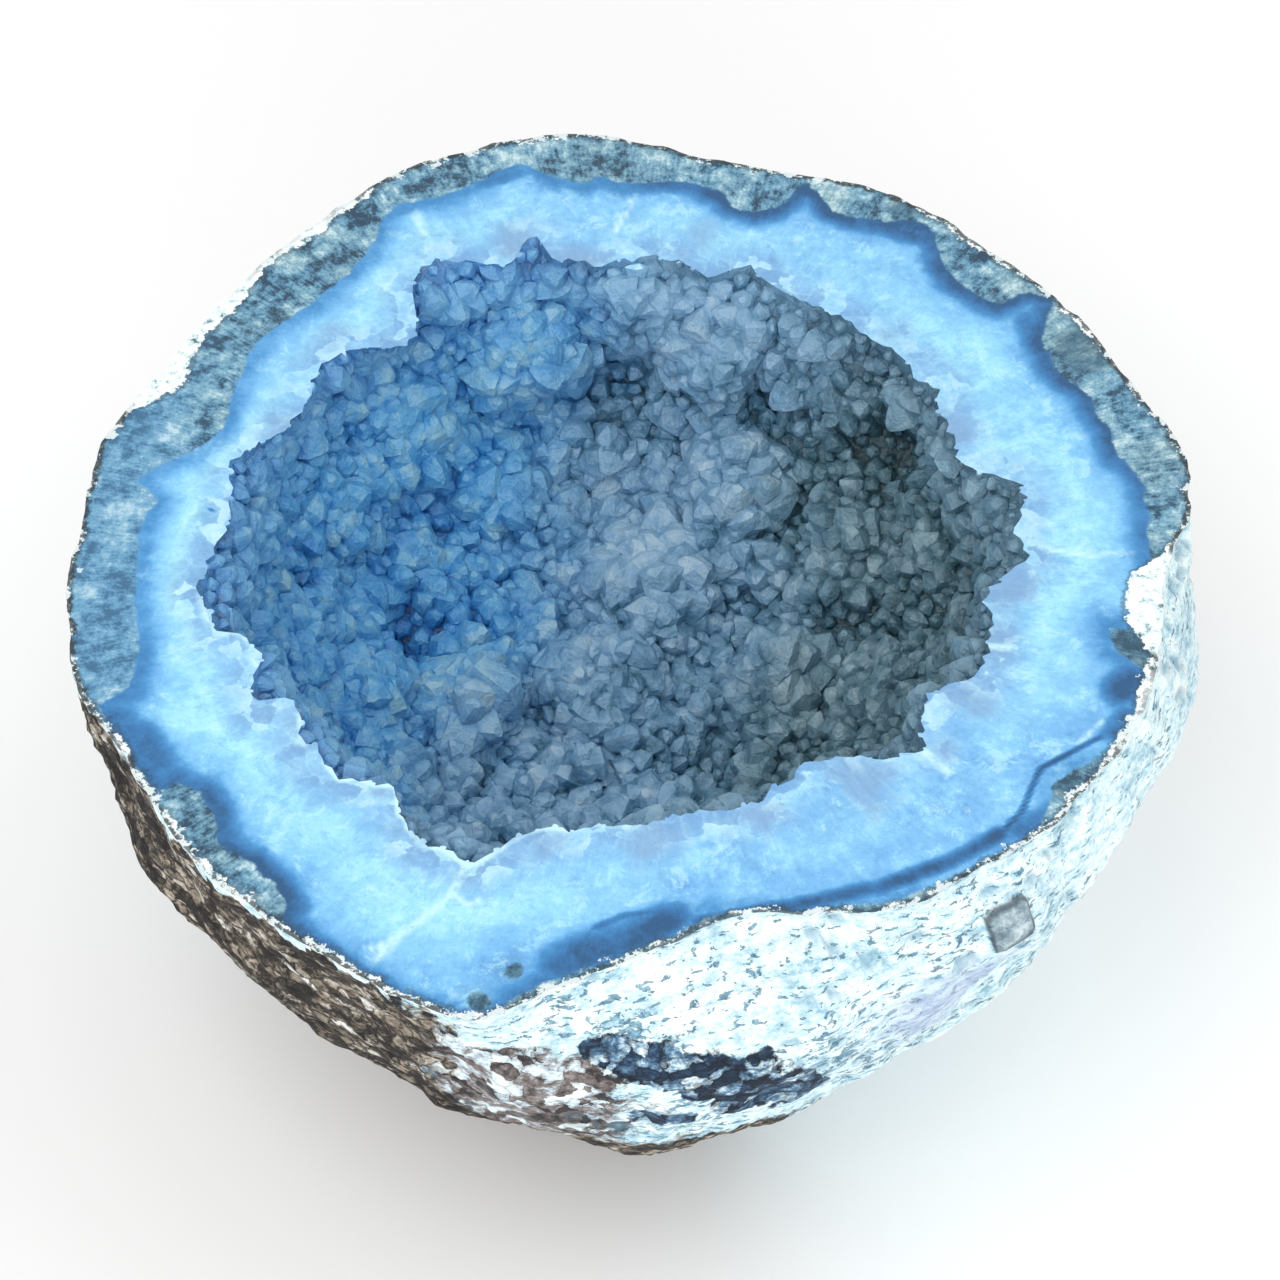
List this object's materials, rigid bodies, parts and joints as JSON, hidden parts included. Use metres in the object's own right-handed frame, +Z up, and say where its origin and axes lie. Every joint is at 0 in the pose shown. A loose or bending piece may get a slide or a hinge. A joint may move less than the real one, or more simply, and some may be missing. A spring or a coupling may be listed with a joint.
{
  "type": "quartz geode",
  "caption": "Half of a round quartz geode, sawn flat: a banded stone wall with a rough rind around a hollow lined with quartz points.",
  "frame": {"origin": "centre of the small resting flat on the underside", "axes": "+Z up, square to the saw cut; +X to the right of the saw cut as pictured, +Y away from the viewer"},
  "size_m": [0.0836, 0.0867, 0.04],
  "materials": {
    "stone": "satin saw cut, rough rind",
    "quartz": "glassy, see-through"
  },
  "bodies": {
    "root": {"stone_wall": "stone", "crystal_crust": "quartz"}
  },
  "joints": []
}
